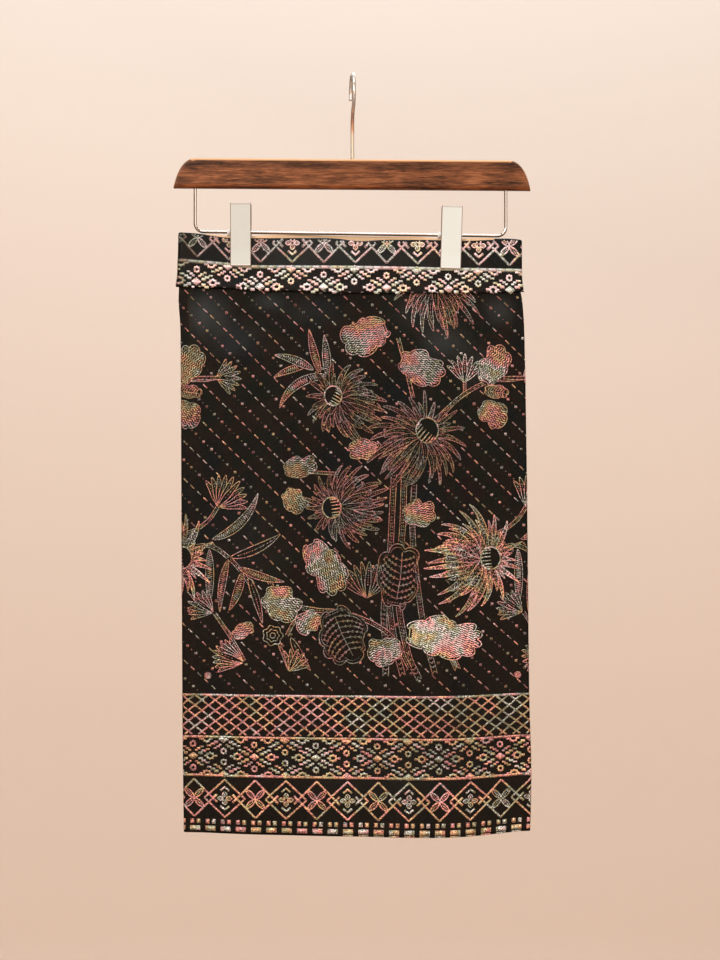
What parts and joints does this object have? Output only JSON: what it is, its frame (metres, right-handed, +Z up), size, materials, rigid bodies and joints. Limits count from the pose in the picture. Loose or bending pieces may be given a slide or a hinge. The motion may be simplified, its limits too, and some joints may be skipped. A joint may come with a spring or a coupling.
{
  "type": "instant sampin on a clip hanger",
  "caption": "Flat pull-on tube of black brocade cloth with woven borders, flowers and a turned waistband, hung by two clips from a wooden bar hanger with a wire hook.",
  "frame": {"origin": "the point inside the top of the hook that rests on a rail", "axes": "+Z up, -Y out of the garment's front, +X towards the viewer's right when the front is seen"},
  "size_m": [0.3579, 0.041, 0.7639],
  "materials": {
    "brocade": "black satin ground with woven iridescent metallic thread",
    "waist_tape": "plain tan tape",
    "walnut": "satin varnish over dark straight grain",
    "bright_wire": "polished, slightly rosy",
    "jaw_metal": "satin",
    "stop_plastic": "plain white"
  },
  "bodies": {
    "root": {"body_front": "brocade", "body_back": "brocade", "waistband_front": "brocade", "waistband_back": "brocade", "waist_facing": "waist_tape", "hook": "bright_wire", "wood_bar": "walnut", "bar_wire": "bright_wire", "clip_left_front_jaw": "jaw_metal", "clip_left_back_jaw": "jaw_metal", "clip_left_stop": "stop_plastic", "clip_left_spring": "bright_wire", "clip_right_front_jaw": "jaw_metal", "clip_right_back_jaw": "jaw_metal", "clip_right_stop": "stop_plastic", "clip_right_spring": "bright_wire"}
  },
  "joints": []
}
